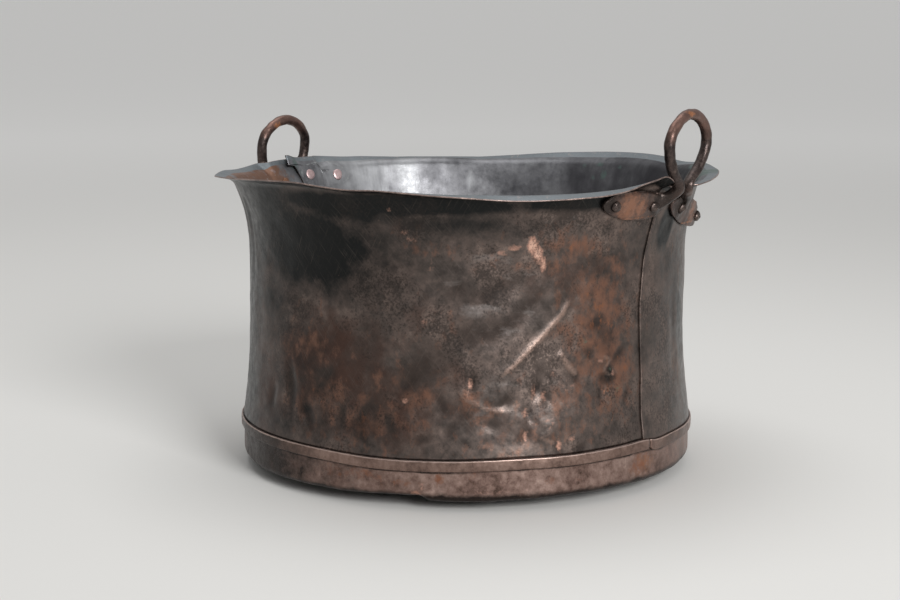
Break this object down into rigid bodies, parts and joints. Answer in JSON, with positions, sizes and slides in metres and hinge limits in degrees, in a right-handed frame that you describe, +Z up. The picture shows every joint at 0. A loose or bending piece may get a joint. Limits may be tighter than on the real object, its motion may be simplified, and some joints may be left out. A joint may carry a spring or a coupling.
{
  "type": "laundry copper boiler",
  "caption": "Round open wash boiler of sheet copper: flared wall with an outward flange at the rim, dished base pan bound by a hoop, and upright loop handles riveted under the rim.",
  "frame": {"origin": "on the ground under the centre of the base", "axes": "+Z up, +X from the axis through the middle of the taller handle; the seam beside that handle is on its -Y side"},
  "size_m": [0.6377, 0.6286, 0.4545],
  "materials": {
    "wall_copper": "smoke-blackened, dented sheet copper with bare brown patches",
    "base_copper": "brown oxidised sheet copper",
    "hoop_copper": "brown oxidised copper strip, worn bright along its edges",
    "handle_copper": "dark brown forged copper bar",
    "rivet_copper": "dark hammered copper"
  },
  "bodies": {
    "root": {"front_body_sheet": "wall_copper", "rear_body_sheet": "wall_copper", "base_pan": "base_copper", "base_hoop": "hoop_copper", "right_handle": "handle_copper", "left_handle": "handle_copper", "right_handle_rivet_a_inner": "rivet_copper", "right_handle_rivet_a_outer": "rivet_copper", "right_handle_rivet_b_inner": "rivet_copper", "right_handle_rivet_b_outer": "rivet_copper", "left_handle_rivet_a_inner": "rivet_copper", "left_handle_rivet_a_outer": "rivet_copper", "left_handle_rivet_b_inner": "rivet_copper", "left_handle_rivet_b_outer": "rivet_copper"}
  },
  "joints": []
}
